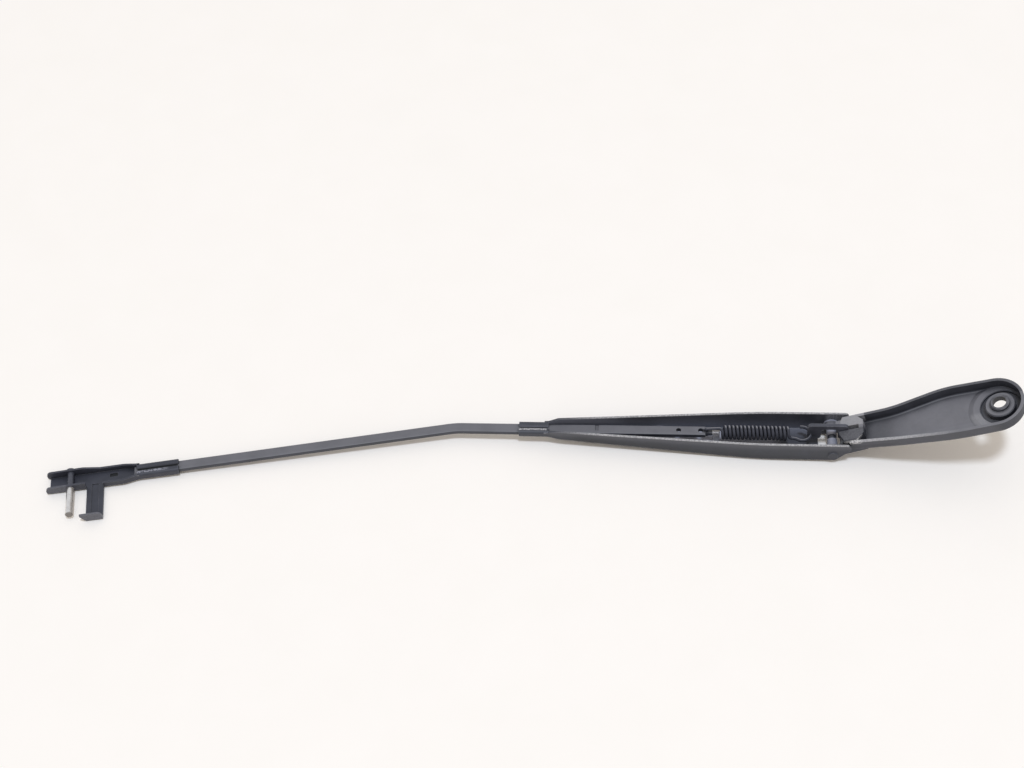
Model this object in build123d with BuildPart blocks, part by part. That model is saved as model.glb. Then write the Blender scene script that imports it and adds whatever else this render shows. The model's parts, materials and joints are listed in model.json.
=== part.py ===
"""Front wiper arm with a folding mounting head, modelled lying on its back.

The underside of the arm, the side that faces the glass, points to +Z. The
origin is in the middle of the spindle bore. The arm runs from the mounting
head along -X to the blade bracket at its tip. All sizes are in millimetres
and degrees. Heights and lengths are measured from the hinge axis unless a
comment says otherwise.
"""
import os
from math import atan2, cos, pi, radians, sin

from build123d import *

# Pose of the arm at its free stop
head_tilt = 20.0            # mounting head against the rim of the retainer
pivot_to_bore = 100.9       # hinge axis to spindle axis
bore_offset = -1.0          # spindle axis to the middle of the arm

# Flat steel rod
rod_width = 6.8
rod_thickness = 3.0
rod_edge = 0.8              # rounded long edges
rod_end = -76.4             # end inside the retainer
tongue_end = -67.6          # narrow tongue that bends down to the web
tongue_width = 3.0
tongue_drop = 0.6           # top of the tongue below the rod
foot_length = 4.0           # foot of the tongue
foot_corner = 1.2
foot_clearance = 0.1        # foot above the web
rod_bend_at = -229.3        # sideways bend
rod_bend_angle = 11.0
rod_bend_radius = 45.0
bend_to_pin = 237.9         # bend to blade pin, along the rod
rod_overrun = 1.5           # rod end past the crimp of the blade bracket
pilot_hole_diameter = 3.0
pilot_hole_at = -92.5
press_mark_length = 2.2     # mark of the press tool on the rod
press_mark_width = 4.4
press_mark_depth = 0.6
press_mark_at = -142.3
press_mark_offset = 1.0

# Retainer, a folded channel of sheet steel
sheet = 1.2
hinge_width = 25.6          # outside, at the hinge
neck_width = 11.2           # outside, where the channel runs into the crimp
taper_start = -45.0
neck_at = -166.0
crimp_start = -172.0
crimp_length = 18.0
crimp_gap = 0.9             # seam between the folded lips
crimp_roll = 1.7            # outer radius of the folds
lip_roll = 0.8              # lips rolled in at the seam
rim_height = 9.4
rod_below_rim = 3.0         # top face of the rod below the rim
channel_depth = 15.4        # rim to back at the hinge
neck_depth = 8.4            # rim to back at the neck
back_edge_radius = 2.4
plan_blend = 500.0          # large radii that smooth the tapered outline
back_blend = 300.0
neck_blend = 30.0
web_end = -8.0              # the web stops short of the hinge
ear_start = 0.0             # flanges rise from the back past this point
ear_reach = 10.4
ear_tip_height = 5.1
ear_radius = 3.0

# Hinge
rivet_diameter = 5.0
rivet_head_diameter = 6.4
rivet_head_height = 0.7
rivet_head_edge = 0.4
bush_wall = 0.6
bush_flange_diameter = 9.4
bush_flange = 0.9
running_clearance = 0.05
side_clearance = 0.3
stop_clearance = 0.05

# Mounting head, a thin-walled casting
head_wall = 1.8
head_floor = 2.2            # thickness of the outer face
head_rim = 6.0
head_depth = 9.0            # rim to outer face
head_edge_radius = 3.4
shell_front = 12.0          # side walls start here
far_neck = 10.0             # half widths of the far side
far_flare_start = 38.0
far_flare_half = 10.5
far_widest_at = 70.0
far_widest = 17.2
near_flare_at = 42.0        # and of the near side
near_flare_half = 14.5
near_widest_at = 74.0
near_widest = 17.9
flare_blend = 70.0
near_blend = 160.0
head_end_at = 98.4          # centre of the rounded end
head_end_offset = -0.8
head_end_radius = 17.0
knuckle_radius = 4.5
cheek_thickness = 3.2
cheek_top = 3.0
head_inner_radius = 1.2     # inside, between walls and floor
round_margin = 2.0          # outer edges stay square this far behind the front of the walls
nose_top = 7.4
nose_width = 18.6
nose_front = 5.6
nose_shoulder = 8.6
nose_rear = 21.0
nose_tip_width = 6.6
nose_chamfer = 4.6
nose_edge = 0.6
toe_overlap = 2.5           # stop toes resting on the end of the web
toe_thickness = 2.4

# Spindle boss
boss_top = 2.7
boss_radius = 8.8
boss_edge = 0.6
groove_radius = 11.8
groove_edge = 0.5
groove_depth = 1.9          # below the pad
pad_radius = 19.0
pad_height = 0.9
pad_ramp = 3.0              # length of the slope round the pad
collar_radius = 5.6
collar_height = 2.2
collar_edge = 0.7
bore_diameter = 8.0
bore_length = 4.0
nut_recess_diameter = 15.2

# Spring link, a C-shaped plate over the hinge
link_pin_x = 6.0            # arm at its stop
link_pin_z = 4.3
link_pin_diameter = 3.2
link_pin_length = 16.0
link_thickness = 2.2
link_side_clearance = 0.4
link_clearance = 0.3
link_play = 1.6             # slotted hole that takes up the arc of the link
link_eye_radius = 3.0
link_bridge_bottom = 10.3
link_bridge_top = 13.4
link_leg_left = -15.2
link_leg_right = -7.0
link_leg_bottom = 1.7
link_outer_corner = 2.6
link_inner_corner = 2.0
link_hook_at = -13.0
link_slot_reach = 18.4      # slot in the nose, from the hinge axis

# Tension spring
wire = 1.9
coil_outside = 9.0
coil_start = -66.0
coil_end = -26.5
coil_turns = 17.25
steps_per_turn = 12         # straight facets in each turn
lead_steps = 4              # and in each lead and each hook
hook_steps = 14
wire_sides = 6
lead_angle = 60.0           # wire turning from the coil into each hook
lead_length = 2.4
anchor_at = -79.2           # hook hole in the rod
hook_hole_clearance = 0.65
eye_hole_clearance = 0.35
hook_bend = 1.8
hook_lift = 0.5             # wire above the rod
hook_overrun = 1.2          # wire past the plate that it hooks into
eye_radius = 5.2            # round eye through the link
eye_start = -40.0           # from its nearest point
eye_end = 190.0

# Blade bracket, folded sheet steel, measured along the rod from the pin axis
bracket_sheet = 1.2
bracket_tip = -14.6
bracket_width = 12.8
bracket_mid = 33.0
bracket_crimp_start = 41.0
bracket_crimp_end = 66.5
bracket_crimp_gap = 1.2
flange_tip_top = 8.4
flange_high_at = 8.0        # flanges drop past the hook
flange_high = 8.8
flange_low_at = 18.0
flange_low = 6.8
lobe_radius = 2.8
bracket_edge_radius = 1.6
bracket_blend = 14.0
tip_notch = 1.6             # web cut back between the flange lobes
web_recess_length = 5.0     # small pressed recess
web_recess_width = 2.6
web_recess_depth = 0.7
web_recess_at = 26.0
web_recess_offset = 1.5

# Blade hook, one piece with the bracket
hook_left = 9.6
hook_right = 20.0
hook_reach = 23.4           # near flange to the outside of the lip
lip_height = 6.0
lip_nose = 2.8              # lip past the hook arm, towards the tip
lip_nose_height = 1.4
lip_blend = 3.0
hook_bead_width = 4.4
hook_bead_depth = 0.5
hook_bead_margin = 3.0

# Blade pin
pin_diameter = 4.6
pin_length = 20.0           # outside the near flange
pin_height = 5.6
pin_shank_diameter = 4.0
pin_head_diameter = 6.0
pin_head_height = 0.9
pin_chamfer = 0.5

# Levels and widths that several pieces share
rod_top = rim_height - rod_below_rim
rod_bottom = rod_top - rod_thickness
rod_middle = rod_bottom + rod_thickness / 2
crimp_back = rod_bottom - sheet
crimp_top = rod_top + sheet
crimp_end = crimp_start - crimp_length
crimp_half = rod_width / 2 + sheet
back_level = rim_height - channel_depth
neck_level = rim_height - neck_depth
web_top = back_level + sheet
inner_half = hinge_width / 2 - sheet
cheek_half = inner_half - side_clearance - bush_flange
cheek_inner = cheek_half - cheek_thickness
bracket_half = bracket_width / 2
bracket_back = rod_bottom - bracket_sheet
bracket_crimp_top = rod_top + bracket_sheet
bracket_crimp_half = rod_width / 2 + bracket_sheet
slot_half = link_thickness / 2 + link_side_clearance
bush_radius = rivet_diameter / 2 + running_clearance + bush_wall
web_slope = (web_top - neck_level - sheet) / (taper_start - neck_at)
foot_bottom = neck_level + sheet + web_slope * (tongue_end - foot_length - neck_at) + foot_clearance
over = hinge_width          # cutters reach this far past what they cut
tiny = 0.01                 # sizes that differ by less are the same
steep = radians(45)         # parts faces that look down from side faces

# Frames of the head, the arm and the tip
bend_angle = radians(rod_bend_angle)
support_span = taper_start - rod_bend_at + (bend_to_pin - bracket_tip - lobe_radius) * cos(bend_angle)
arm_angle = atan2(bracket_back - back_level, support_span)
head_angle = arm_angle + radians(head_tilt)
head_back = head_rim - head_depth
head_inside = head_back + head_floor
collar_top = boss_top + collar_height
bore_bottom = collar_top - bore_length
bore_middle = bore_bottom + bore_length / 2
groove_floor = head_inside + pad_height - groove_depth
across = Vector(0, 1, 0)
head_x = Vector(cos(head_angle), 0, sin(head_angle))
head_z = Vector(-sin(head_angle), 0, cos(head_angle))
arm_x = Vector(cos(arm_angle), 0, sin(arm_angle))
arm_z = Vector(-sin(arm_angle), 0, cos(arm_angle))
tip_x = arm_x * cos(bend_angle) + across * sin(bend_angle)
tip_y = across * cos(bend_angle) - arm_x * sin(bend_angle)
pivot = (head_x * pivot_to_bore + across * bore_offset + head_z * bore_middle) * -1
tip_origin = pivot + arm_x * rod_bend_at - tip_x * bend_to_pin
head_frame = Plane(pivot, x_dir=head_x, z_dir=head_z)
arm_frame = Plane(pivot, x_dir=arm_x, z_dir=arm_z)
tip_frame = Plane(tip_origin, x_dir=tip_x, z_dir=arm_z)
head_side = Plane(pivot, x_dir=head_x, z_dir=across * -1)
arm_side = Plane(pivot, x_dir=arm_x, z_dir=across * -1)
tip_side = Plane(tip_origin, x_dir=tip_x, z_dir=tip_y * -1)


def local(frame, shape):
    """Centre of a shape in the coordinates of a frame."""
    return frame.to_local_coords(shape.center())


def strip_plan(plane, stations, inset):
    """Symmetric outline through (x, half width, blend) stations, narrowed by an inset."""
    first, last = stations[0][0], stations[-1][0]
    edge = [(x, half - inset) for x, half, blend in stations]
    with BuildSketch(plane) as plan:
        with BuildLine():
            Polyline((first, 0), *edge, (last, 0), close=True)
        make_face()
        for corner, station in zip(edge[1:-1], stations[1:-1]):
            fillet(plan.vertices().sort_by_distance(corner)[0], station[2])
        mirror(about=Plane.XZ)
    return plan.sketch


def side_profile(plane, points, blends):
    """Closed outline through points, with a blend radius at some of them."""
    with BuildSketch(plane) as profile:
        with BuildLine():
            Polyline(*points, close=True)
        make_face()
        for corner, radius in blends:
            fillet(profile.vertices().sort_by_distance(corner)[0], radius)
    return profile.sketch


def long_bottom_edges(part):
    """Edges along the sides of the faces that look down."""
    down = part.faces().filter_by(lambda face: face.normal_at().dot(arm_z) < -cos(steep))
    return down.edges().filter_by(lambda edge: abs((edge % 0.5).dot(across)) < cos(steep))


def crimp_relief(half, bottom, top, gap):
    """Section of what rounds off a square crimp: its outer corners and the seam between its lips."""
    with BuildSketch() as relief:
        with Locations((0, (bottom + top) / 2)):
            Rectangle(2 * half, top - bottom)
            RectangleRounded(2 * half, top - bottom, crimp_roll, mode=Mode.SUBTRACT)
        with BuildLine():
            Polyline(
                (-gap / 2, rod_middle), (gap / 2, rod_middle), (gap / 2, top - lip_roll),
                (gap / 2 + lip_roll, top), (-gap / 2 - lip_roll, top), (-gap / 2, top - lip_roll), close=True,
            )
        make_face()
    return relief.sketch_local


def ring_edges(part, radius, height):
    """Round edges of a radius and a height on the mounting head."""
    rings = part.edges().filter_by(GeomType.CIRCLE).filter_by(lambda edge: abs(edge.radius - radius) < tiny)
    return rings.filter_by(lambda edge: abs(head_frame.to_local_coords(edge.arc_center).Z - height) < tiny)


# Retainer
retainer_stations = [
    (crimp_end, crimp_half, 0), (crimp_start, crimp_half, neck_blend), (neck_at, neck_width / 2, neck_blend),
    (taper_start, hinge_width / 2, plan_blend), (ear_reach, hinge_width / 2, 0),
]
retainer_plan = strip_plan(arm_frame.offset(back_level), retainer_stations, 0)
retainer_profile = side_profile(
    arm_side,
    [
        (crimp_end, crimp_back), (crimp_start, crimp_back), (neck_at, neck_level), (taper_start, back_level),
        (ear_start, back_level), (ear_reach, ear_tip_height), (ear_reach, rim_height), (neck_at, rim_height),
        (crimp_start, crimp_top), (crimp_end, crimp_top),
    ],
    [
        ((crimp_start, crimp_back), neck_blend), ((neck_at, neck_level), neck_blend),
        ((taper_start, back_level), back_blend),
        ((ear_reach, ear_tip_height), ear_radius), ((ear_reach, rim_height), ear_radius),
    ],
)
cavity_stations = [
    (crimp_start, crimp_half, 0), (neck_at, neck_width / 2, neck_blend),
    (taper_start, hinge_width / 2, plan_blend), (ear_reach + over, hinge_width / 2, 0),
]
cavity_plan = strip_plan(arm_frame.offset(back_level), cavity_stations, sheet)
cavity_profile = side_profile(
    arm_side,
    [
        (crimp_start, rod_bottom), (neck_at, neck_level + sheet), (taper_start, web_top),
        (ear_reach + over, web_top), (ear_reach + over, rim_height + over), (crimp_start, rim_height + over),
    ],
    [((neck_at, neck_level + sheet), neck_blend), ((taper_start, web_top), back_blend)],
)
with BuildPart() as cavity:
    extrude(cavity_plan, amount=channel_depth + over)
    extrude(cavity_profile, amount=over, both=True, mode=Mode.INTERSECT)
    fillet(long_bottom_edges(cavity), rod_edge)

with BuildPart() as retainer:
    extrude(retainer_plan, amount=channel_depth)
    extrude(retainer_profile, amount=over, both=True, mode=Mode.INTERSECT)
    fillet(long_bottom_edges(retainer), back_edge_radius)
    add(cavity, mode=Mode.SUBTRACT)
    with BuildSketch(arm_frame.offset(rod_bottom)):
        with Locations((crimp_end - over, 0)):
            Rectangle(over + crimp_length, rod_width, align=(Align.MIN, Align.CENTER))
    extrude(amount=rod_thickness, mode=Mode.SUBTRACT)
    with BuildSketch(Plane(pivot + arm_x * crimp_end, x_dir=across, z_dir=arm_x)):
        add(crimp_relief(crimp_half, crimp_back, crimp_top, crimp_gap))
    extrude(amount=crimp_length, mode=Mode.SUBTRACT)
    with BuildSketch(arm_frame.offset(web_top + sheet)):
        with Locations((web_end, 0)):
            Rectangle(over, 2 * inner_half, align=(Align.MIN, Align.CENTER))
    extrude(amount=-over, mode=Mode.SUBTRACT)
    with BuildSketch(arm_side):
        Circle(rivet_diameter / 2)
    extrude(amount=over, both=True, mode=Mode.SUBTRACT)

# Rod
rod_outer_length = bend_to_pin - bracket_crimp_start + rod_overrun
with BuildPart() as rod:
    with BuildLine(arm_frame.offset(rod_middle)) as rod_path:
        FilletPolyline(
            (rod_end, 0),
            (rod_bend_at, 0),
            (rod_bend_at - rod_outer_length * cos(bend_angle), -rod_outer_length * sin(bend_angle)),
            radius=rod_bend_radius,
        )
    with BuildSketch(Plane(rod_path.line @ 0, x_dir=across, z_dir=rod_path.line % 0)):
        RectangleRounded(rod_width, rod_thickness, rod_edge)
    sweep()
    with BuildSketch(arm_frame.offset(rod_top)):
        with Locations((pilot_hole_at, 0)):
            Circle(pilot_hole_diameter / 2)
        with Locations((anchor_at, 0)):
            Circle(wire / 2 + hook_hole_clearance)
    extrude(amount=-over, mode=Mode.SUBTRACT)
    with BuildSketch(arm_frame.offset(rod_top)):
        with Locations((press_mark_at, press_mark_offset)):
            Rectangle(press_mark_length, press_mark_width)
    extrude(amount=-press_mark_depth, mode=Mode.SUBTRACT)
    with BuildSketch(arm_side) as tongue:
        with BuildLine():
            Polyline(
                (rod_end, rod_bottom), (rod_end, rod_top - tongue_drop), (tongue_end, rod_top - tongue_drop),
                (tongue_end, foot_bottom), (tongue_end - foot_length, foot_bottom),
                (tongue_end - foot_length, rod_bottom), close=True,
            )
        make_face()
        fillet(tongue.vertices().sort_by_distance((tongue_end, rod_top - tongue_drop))[0], foot_corner)
    extrude(amount=tongue_width / 2, both=True)

# Hinge rivet
with BuildPart() as pivot_rivet:
    with BuildSketch(arm_side):
        Circle(rivet_diameter / 2)
    extrude(amount=hinge_width / 2, both=True)
    for side in (-1, 1):
        with BuildSketch(arm_side.offset(side * hinge_width / 2)):
            Circle(rivet_head_diameter / 2)
        extrude(amount=side * rivet_head_height)
    rivet_ends = pivot_rivet.faces().sort_by(Axis.Y)
    chamfer(rivet_ends[0].edges() + rivet_ends[-1].edges(), rivet_head_edge)


def hinge_bush(side):
    """Flanged bush in one cheek of the head."""
    with BuildPart() as bush:
        with BuildSketch(arm_side.offset(-side * cheek_half)):
            Circle(bush_flange_diameter / 2)
        extrude(amount=-side * bush_flange)
        with BuildSketch(arm_side.offset(-side * cheek_half)):
            Circle(bush_radius)
        extrude(amount=side * (cheek_half - slot_half))
        with BuildSketch(arm_side):
            Circle(rivet_diameter / 2 + running_clearance)
        extrude(amount=over, both=True, mode=Mode.SUBTRACT)
    return bush.part


near_bush = hinge_bush(-1)
far_bush = hinge_bush(1)


def head_plan(inset):
    """Plan outline of the head, narrowed by an inset."""
    with BuildSketch() as plan:
        with BuildLine():
            Polyline(
                (head_end_at, head_end_offset - head_end_radius), (near_widest_at, -near_widest),
                (near_flare_at, -near_flare_half), (shell_front, -cheek_half), (shell_front, far_neck),
                (far_flare_start, far_flare_half), (far_widest_at, far_widest),
                (head_end_at, head_end_offset + head_end_radius),
            )
            ThreePointArc(
                (head_end_at, head_end_offset + head_end_radius),
                (head_end_at + head_end_radius, head_end_offset),
                (head_end_at, head_end_offset - head_end_radius),
            )
        make_face()
        for corner, radius in (
            ((far_flare_start, far_flare_half), flare_blend),
            ((far_widest_at, far_widest), flare_blend),
            ((near_flare_at, -near_flare_half), near_blend),
            ((near_widest_at, -near_widest), near_blend),
        ):
            fillet(plan.vertices().sort_by_distance(corner)[0], radius)
        if inset:
            offset(amount=-inset, mode=Mode.REPLACE)
    return plan.sketch_local


# Mounting head
link_pin_point = pivot + arm_x * link_pin_x + arm_z * link_pin_z
link_pin_in_head = head_frame.to_local_coords(link_pin_point)
link_slot_floor = link_pin_in_head.Z - link_eye_radius - link_play / 2 - link_clearance
link_slot_end = link_pin_in_head.X + link_eye_radius + link_play + link_clearance

with BuildPart() as pan:
    with BuildSketch(head_frame.offset(head_inside)):
        add(head_plan(head_wall))
    extrude(amount=head_depth)
    fillet(pan.faces().sort_by(Axis(pivot, head_z))[0].edges(), head_inner_radius)

with BuildPart() as pad:
    for radius, level in ((pad_radius, head_inside), (pad_radius - pad_ramp, head_inside + pad_height)):
        with BuildSketch(head_frame.offset(level)):
            with Locations((pivot_to_bore, bore_offset)):
                Circle(radius)
    loft()
    with BuildSketch(head_frame.offset(head_inside)):
        add(head_plan(head_wall / 2))
    extrude(amount=pad_height, mode=Mode.INTERSECT)

with BuildPart() as mounting_head:
    with BuildSketch(head_frame.offset(head_rim)):
        add(head_plan(0))
    extrude(amount=-head_depth)
    outer_face = mounting_head.faces().sort_by(Axis(pivot, head_z))[0]
    rounded = outer_face.edges().filter_by(lambda edge: local(head_frame, edge).X > shell_front + round_margin)
    fillet(rounded, head_edge_radius)
    add(pan, mode=Mode.SUBTRACT)
    with BuildSketch(head_side):
        with Locations((shell_front, head_inside)):
            Rectangle(2 * head_wall, over, align=(Align.CENTER, Align.MIN))
    extrude(amount=cheek_half - head_wall, both=True, mode=Mode.SUBTRACT)
    add(pad)
    with BuildSketch(head_frame.offset(groove_floor)):
        with Locations((pivot_to_bore, bore_offset)):
            Circle(groove_radius)
    extrude(amount=over, mode=Mode.SUBTRACT)
    chamfer(ring_edges(mounting_head, groove_radius, head_inside + pad_height), groove_edge)
    for radius, top, edge in ((boss_radius, boss_top, boss_edge), (collar_radius, collar_top, collar_edge)):
        with BuildSketch(head_frame.offset(head_back)):
            with Locations((pivot_to_bore, bore_offset)):
                Circle(radius)
        extrude(amount=top - head_back)
        chamfer(ring_edges(mounting_head, radius, top), edge)
    for radius, top in ((nut_recess_diameter / 2, bore_bottom), (bore_diameter / 2, collar_top)):
        with BuildSketch(head_frame.offset(head_back)):
            with Locations((pivot_to_bore, bore_offset)):
                Circle(radius)
        extrude(amount=top - head_back, mode=Mode.SUBTRACT)
    with BuildSketch(head_side):
        with BuildLine():
            Polyline(
                (0, -knuckle_radius), (nose_rear, head_back), (nose_rear, head_inside),
                (shell_front, cheek_top), (0, cheek_top), close=True,
            )
        make_face()
        Circle(knuckle_radius)
    extrude(amount=cheek_half, both=True)
    with BuildSketch(head_frame):
        with Locations((nose_front, 0)):
            Rectangle(over, 2 * cheek_inner, align=(Align.MAX, Align.CENTER))
    extrude(amount=over, both=True, mode=Mode.SUBTRACT)
    with BuildSketch(head_frame.offset(head_inside)):
        with BuildLine():
            Polyline(
                (nose_front, -nose_tip_width / 2), (nose_shoulder, -nose_width / 2),
                (nose_rear - nose_chamfer, -nose_width / 2), (nose_rear, nose_chamfer - nose_width / 2),
                (nose_rear, nose_width / 2 - nose_chamfer), (nose_rear - nose_chamfer, nose_width / 2),
                (nose_shoulder, nose_width / 2), (nose_front, nose_tip_width / 2), close=True,
            )
        make_face()
    extrude(amount=nose_top - head_inside)
    nose_face = mounting_head.faces().sort_by(Axis(pivot, head_z))[-1]
    chamfer(nose_face.edges(), nose_edge)
    for side in (-1, 1):
        with BuildSketch(arm_side.offset(-side * cheek_inner)):
            with BuildLine():
                Polyline(
                    (0, -knuckle_radius),
                    (web_end - toe_overlap, web_top + stop_clearance),
                    (web_end - toe_overlap, web_top + stop_clearance + toe_thickness),
                    (0, 0),
                    close=True,
                )
            make_face()
        extrude(amount=-side * cheek_thickness)
    with BuildSketch(head_frame.offset(link_slot_floor)):
        with Locations((link_slot_end, 0)):
            Rectangle(over, 2 * slot_half, align=(Align.MAX, Align.CENTER))
    extrude(amount=over, mode=Mode.SUBTRACT)
    with BuildSketch(head_frame.offset(cheek_top)):
        with Locations((link_slot_reach, 0)):
            Rectangle(over, 2 * slot_half, align=(Align.MAX, Align.CENTER))
    extrude(amount=over, mode=Mode.SUBTRACT)
    with BuildSketch(head_side):
        Circle(bush_radius)
    extrude(amount=over, both=True, mode=Mode.SUBTRACT)
    with BuildSketch(Plane(link_pin_point, x_dir=head_x, z_dir=across)):
        Circle(link_pin_diameter / 2)
    extrude(amount=link_pin_length / 2, both=True, mode=Mode.SUBTRACT)

# Link pin
with BuildPart() as link_pin:
    with BuildSketch(Plane(link_pin_point, x_dir=head_x, z_dir=across)):
        Circle(link_pin_diameter / 2)
    extrude(amount=link_pin_length / 2, both=True)

# Line of the spring, from its anchor in the rod to the link pin
anchor_point = pivot + arm_x * anchor_at + arm_z * rod_middle
spring_x = (link_pin_point - anchor_point).normalized()
spring_up = spring_x.cross(across)
link_hook_point = anchor_point + spring_x * (link_hook_at - anchor_at)

# Spring link
with BuildPart() as spring_link:
    with BuildSketch(arm_side) as link_outline:
        with Locations((link_leg_left, link_leg_bottom)):
            Rectangle(
                link_leg_right - link_leg_left, link_bridge_top - link_leg_bottom, align=(Align.MIN, Align.MIN)
            )
        with Locations((link_leg_left, link_bridge_bottom)):
            Rectangle(
                link_pin_x + link_eye_radius - link_leg_left,
                link_bridge_top - link_bridge_bottom,
                align=(Align.MIN, Align.MIN),
            )
        with Locations((link_pin_x, link_pin_z)):
            Rectangle(
                2 * link_eye_radius, link_bridge_top - link_pin_z, align=(Align.CENTER, Align.MIN)
            )
        upper = link_outline.vertices().filter_by(lambda vertex: vertex.Y > link_bridge_top - tiny)
        fillet(upper, link_outer_corner)
        inner = link_outline.vertices().filter_by(lambda vertex: abs(vertex.Y - link_bridge_bottom) < tiny)
        fillet(inner, link_inner_corner)
        lower = link_outline.vertices().filter_by(lambda vertex: vertex.Y < link_leg_bottom + tiny)
        fillet(lower, link_inner_corner)
        with Locations((link_pin_x + link_play / 2, link_pin_z)):
            SlotCenterToCenter(link_play, 2 * link_eye_radius)
        with Locations((link_pin_x + link_play / 2, link_pin_z)):
            SlotCenterToCenter(link_play, link_pin_diameter + 2 * link_clearance, mode=Mode.SUBTRACT)
    extrude(amount=link_thickness / 2, both=True)
    with BuildSketch(Plane(link_hook_point, x_dir=spring_x, z_dir=across)):
        Circle(wire / 2 + eye_hole_clearance)
    extrude(amount=over, both=True, mode=Mode.SUBTRACT)

# Tension spring, one wire with a hook at each end
coil_radius = (coil_outside - wire) / 2
coil_length = coil_end - coil_start
lead_turns = lead_angle / 360
close_turns = coil_turns - 2 * lead_turns
spring_frame = Plane(
    anchor_point + spring_x * (coil_start - anchor_at), x_dir=spring_up, z_dir=spring_x
)


def coil_point(turn, along):
    """Point on the coil at a number of turns from the top."""
    angle = radians(360 * turn)
    return spring_frame.from_local_coords(Vector(coil_radius * cos(angle), coil_radius * sin(angle), along))


def eye_point(angle):
    """Point on the round eye at an angle from its nearest point."""
    angle = radians(angle)
    return spring_frame.from_local_coords(Vector(0, eye_radius * cos(angle), eye_middle + eye_radius * sin(angle)))


def wire_sections(points):
    """Planes and corners of the wire's sections, mitred where its straight facets meet."""
    runs = [(after - before).normalized() for before, after in zip(points, points[1:])]
    first = Plane(points[0], x_dir=across, z_dir=runs[0])
    spokes = [2 * pi * side / wire_sides for side in range(wire_sides)]
    corners = [first.from_local_coords(Vector(cos(spoke), sin(spoke), 0) * (wire / 2)) for spoke in spokes]
    sections = [(first, corners)]
    for point, run, next_run in zip(points[1:], runs, runs[1:] + runs[-1:]):
        mitre = Plane(point, z_dir=(run + next_run).normalized())
        corners = [
            corner + run * ((point - corner).dot(mitre.z_dir) / run.dot(mitre.z_dir)) for corner in corners
        ]
        sections.append((mitre, corners))
    return sections


rod_hook_height = rod_thickness / 2 + wire / 2 + hook_lift
eye_middle = link_hook_at - coil_start - eye_radius
with BuildLine(spring_frame, mode=Mode.PRIVATE) as rod_hook:
    FilletPolyline(
        (-rod_thickness / 2 - hook_overrun, 0, anchor_at - coil_start),
        (rod_hook_height, 0, anchor_at - coil_start),
        (coil_radius, 0, -lead_length),
        radius=hook_bend,
    )
hook_shares = [step / hook_steps for step in range(hook_steps + 1)]
lead_shares = [step / lead_steps for step in range(1, lead_steps + 1)]
coil_steps = round(close_turns * steps_per_turn)
coil_shares = [step / coil_steps for step in range(1, coil_steps + 1)]
spring_points = [rod_hook.line @ share for share in hook_shares]
spring_points += [coil_point(lead_turns * share**2, -lead_length * (1 - share) ** 2) for share in lead_shares]
spring_points += [coil_point(lead_turns + close_turns * share, coil_length * share) for share in coil_shares]
spring_points += [
    coil_point(coil_turns - lead_turns * (1 - share) ** 2, coil_length + lead_length * share**2)
    for share in lead_shares
]
spring_points += [eye_point(eye_start + (eye_end - eye_start) * share) for share in hook_shares]

with BuildPart() as tension_spring:
    for plane, corners in wire_sections(spring_points):
        with BuildSketch(plane):
            with BuildLine():
                Polyline(*[plane.to_local_coords(corner) for corner in corners], close=True)
            make_face()
    loft(ruled=True)

# Blade bracket
bracket_stations = [
    (bracket_tip, bracket_half, 0), (bracket_mid, bracket_half, bracket_blend),
    (bracket_crimp_start, bracket_crimp_half, bracket_blend), (bracket_crimp_end, bracket_crimp_half, 0),
]
bracket_plan = strip_plan(tip_frame.offset(bracket_back), bracket_stations, 0)
bracket_profile = side_profile(
    tip_side,
    [
        (bracket_tip, bracket_back), (bracket_crimp_end, bracket_back), (bracket_crimp_end, bracket_crimp_top),
        (bracket_crimp_start, bracket_crimp_top), (bracket_mid, flange_low), (flange_low_at, flange_low),
        (flange_high_at, flange_high), (bracket_tip, flange_tip_top),
    ],
    [((bracket_tip, bracket_back), lobe_radius), ((bracket_tip, flange_tip_top), lobe_radius)],
)
bracket_cavity_stations = [
    (bracket_tip - over, bracket_half, 0), (bracket_mid, bracket_half, bracket_blend),
    (bracket_crimp_start, bracket_crimp_half, 0),
]
bracket_cavity_plan = strip_plan(tip_frame.offset(rod_bottom), bracket_cavity_stations, bracket_sheet)
lip_face = bracket_half + hook_reach
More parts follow.
